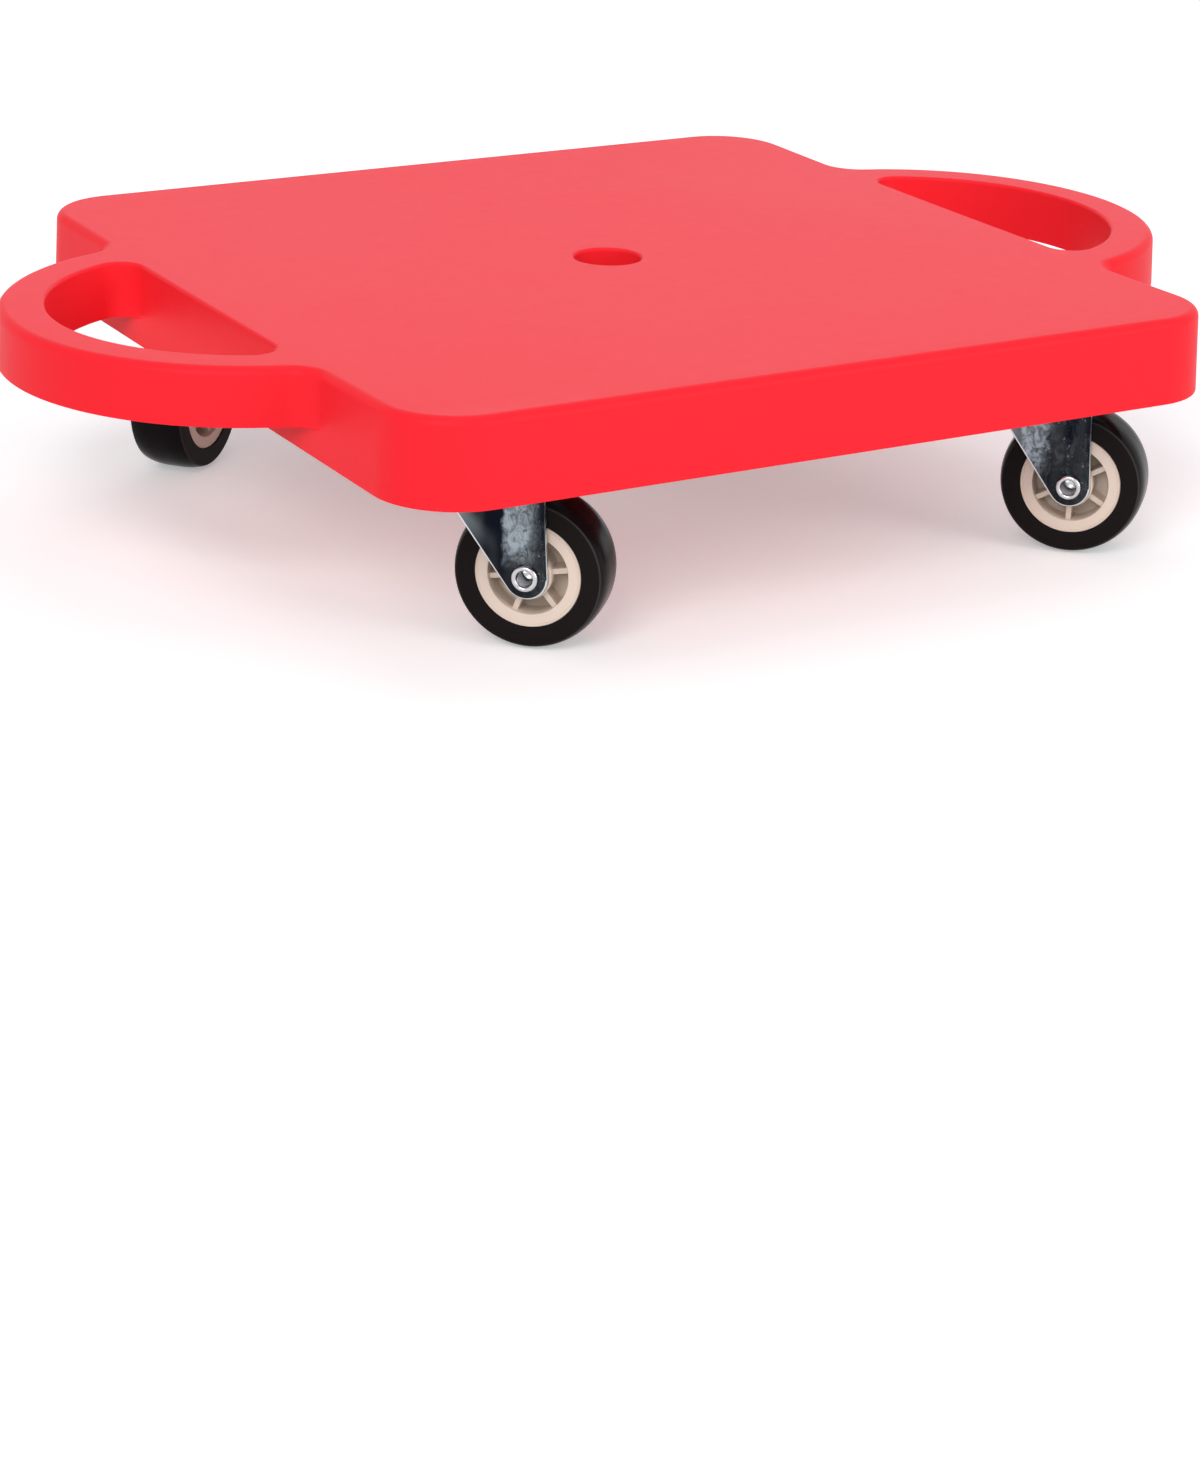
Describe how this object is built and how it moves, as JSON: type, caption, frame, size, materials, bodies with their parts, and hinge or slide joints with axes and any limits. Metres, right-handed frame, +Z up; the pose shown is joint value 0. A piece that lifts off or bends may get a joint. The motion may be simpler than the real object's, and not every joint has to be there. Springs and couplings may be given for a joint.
{
  "type": "scooter board",
  "caption": "Square moulded plastic scooter board with a loop handle on each side and a centre hole, on swivel casters screwed to its underside.",
  "frame": {"origin": "on the floor under the middle of the deck", "axes": "+X from the left handle to the right handle, +Y to the rear, +Z up"},
  "size_m": [0.4412, 0.309, 0.088],
  "materials": {
    "red_plastic": "satin moulded",
    "black_tread": "smooth satin",
    "cream_plastic": "satin moulded",
    "chromed_steel": "polished",
    "zinc_steel": "zinc plated",
    "screw_steel": "zinc plated",
    "bearing_steel": "greased"
  },
  "bodies": {
    "board": {"deck": "red_plastic", "mounting_plate_front_left": "zinc_steel", "king_pin_front_left": "zinc_steel", "mounting_screw_front_left_1": "screw_steel", "mounting_screw_front_left_2": "screw_steel", "mounting_screw_front_left_3": "screw_steel", "mounting_screw_front_left_4": "screw_steel", "mounting_plate_front_right": "zinc_steel", "king_pin_front_right": "zinc_steel", "mounting_screw_front_right_1": "screw_steel", "mounting_screw_front_right_2": "screw_steel", "mounting_screw_front_right_3": "screw_steel", "mounting_screw_front_right_4": "screw_steel", "mounting_plate_rear_left": "zinc_steel", "king_pin_rear_left": "zinc_steel", "mounting_screw_rear_left_1": "screw_steel", "mounting_screw_rear_left_2": "screw_steel", "mounting_screw_rear_left_3": "screw_steel", "mounting_screw_rear_left_4": "screw_steel", "mounting_plate_rear_right": "zinc_steel", "king_pin_rear_right": "zinc_steel", "mounting_screw_rear_right_1": "screw_steel", "mounting_screw_rear_right_2": "screw_steel", "mounting_screw_rear_right_3": "screw_steel", "mounting_screw_rear_right_4": "screw_steel"},
    "swivel_front_left": {"ball_cage_front_left": "bearing_steel", "fork_front_left": "chromed_steel", "wheel_axle_front_left": "chromed_steel", "axle_bush_front_left": "bearing_steel"},
    "wheel_front_left": {"wheel_hub_front_left": "cream_plastic", "tyre_front_left": "black_tread"},
    "swivel_front_right": {"ball_cage_front_right": "bearing_steel", "fork_front_right": "chromed_steel", "wheel_axle_front_right": "chromed_steel", "axle_bush_front_right": "bearing_steel"},
    "wheel_front_right": {"wheel_hub_front_right": "cream_plastic", "tyre_front_right": "black_tread"},
    "swivel_rear_left": {"ball_cage_rear_left": "bearing_steel", "fork_rear_left": "chromed_steel", "wheel_axle_rear_left": "chromed_steel", "axle_bush_rear_left": "bearing_steel"},
    "wheel_rear_left": {"wheel_hub_rear_left": "cream_plastic", "tyre_rear_left": "black_tread"},
    "swivel_rear_right": {"ball_cage_rear_right": "bearing_steel", "fork_rear_right": "chromed_steel", "wheel_axle_rear_right": "chromed_steel", "axle_bush_rear_right": "bearing_steel"},
    "wheel_rear_right": {"wheel_hub_rear_right": "cream_plastic", "tyre_rear_right": "black_tread"}
  },
  "joints": [
    {"name": "swivel_front_left", "type": "hinge", "parent": "board", "child": "swivel_front_left", "pos_m": [-0.1065, -0.1065, 0.055], "axis": [0, 0, 1], "continuous": true},
    {"name": "wheel_spin_front_left", "type": "hinge", "parent": "swivel_front_left", "child": "wheel_front_left", "pos_m": [-0.0934, -0.11928, 0.025], "axis": [0.6984, 0.7157, 0], "continuous": true},
    {"name": "swivel_front_right", "type": "hinge", "parent": "board", "child": "swivel_front_right", "pos_m": [0.1065, -0.1065, 0.055], "axis": [0, 0, 1], "continuous": true},
    {"name": "wheel_spin_front_right", "type": "hinge", "parent": "swivel_front_right", "child": "wheel_front_right", "pos_m": [0.1191, -0.11977, 0.025], "axis": [0.7254, 0.6884, 0], "continuous": true},
    {"name": "swivel_rear_left", "type": "hinge", "parent": "board", "child": "swivel_rear_left", "pos_m": [-0.1065, 0.1065, 0.055], "axis": [0, 0, 1], "continuous": true},
    {"name": "wheel_spin_rear_left", "type": "hinge", "parent": "swivel_rear_left", "child": "wheel_rear_left", "pos_m": [-0.12058, 0.09481, 0.025], "axis": [0.6388, -0.7694, 0], "continuous": true},
    {"name": "swivel_rear_right", "type": "hinge", "parent": "board", "child": "swivel_rear_right", "pos_m": [0.1065, 0.1065, 0.055], "axis": [0, 0, 1], "continuous": true},
    {"name": "wheel_spin_rear_right", "type": "hinge", "parent": "swivel_rear_right", "child": "wheel_rear_right", "pos_m": [0.12235, 0.09735, 0.025], "axis": [0.5, 0.866, 0], "continuous": true}
  ]
}
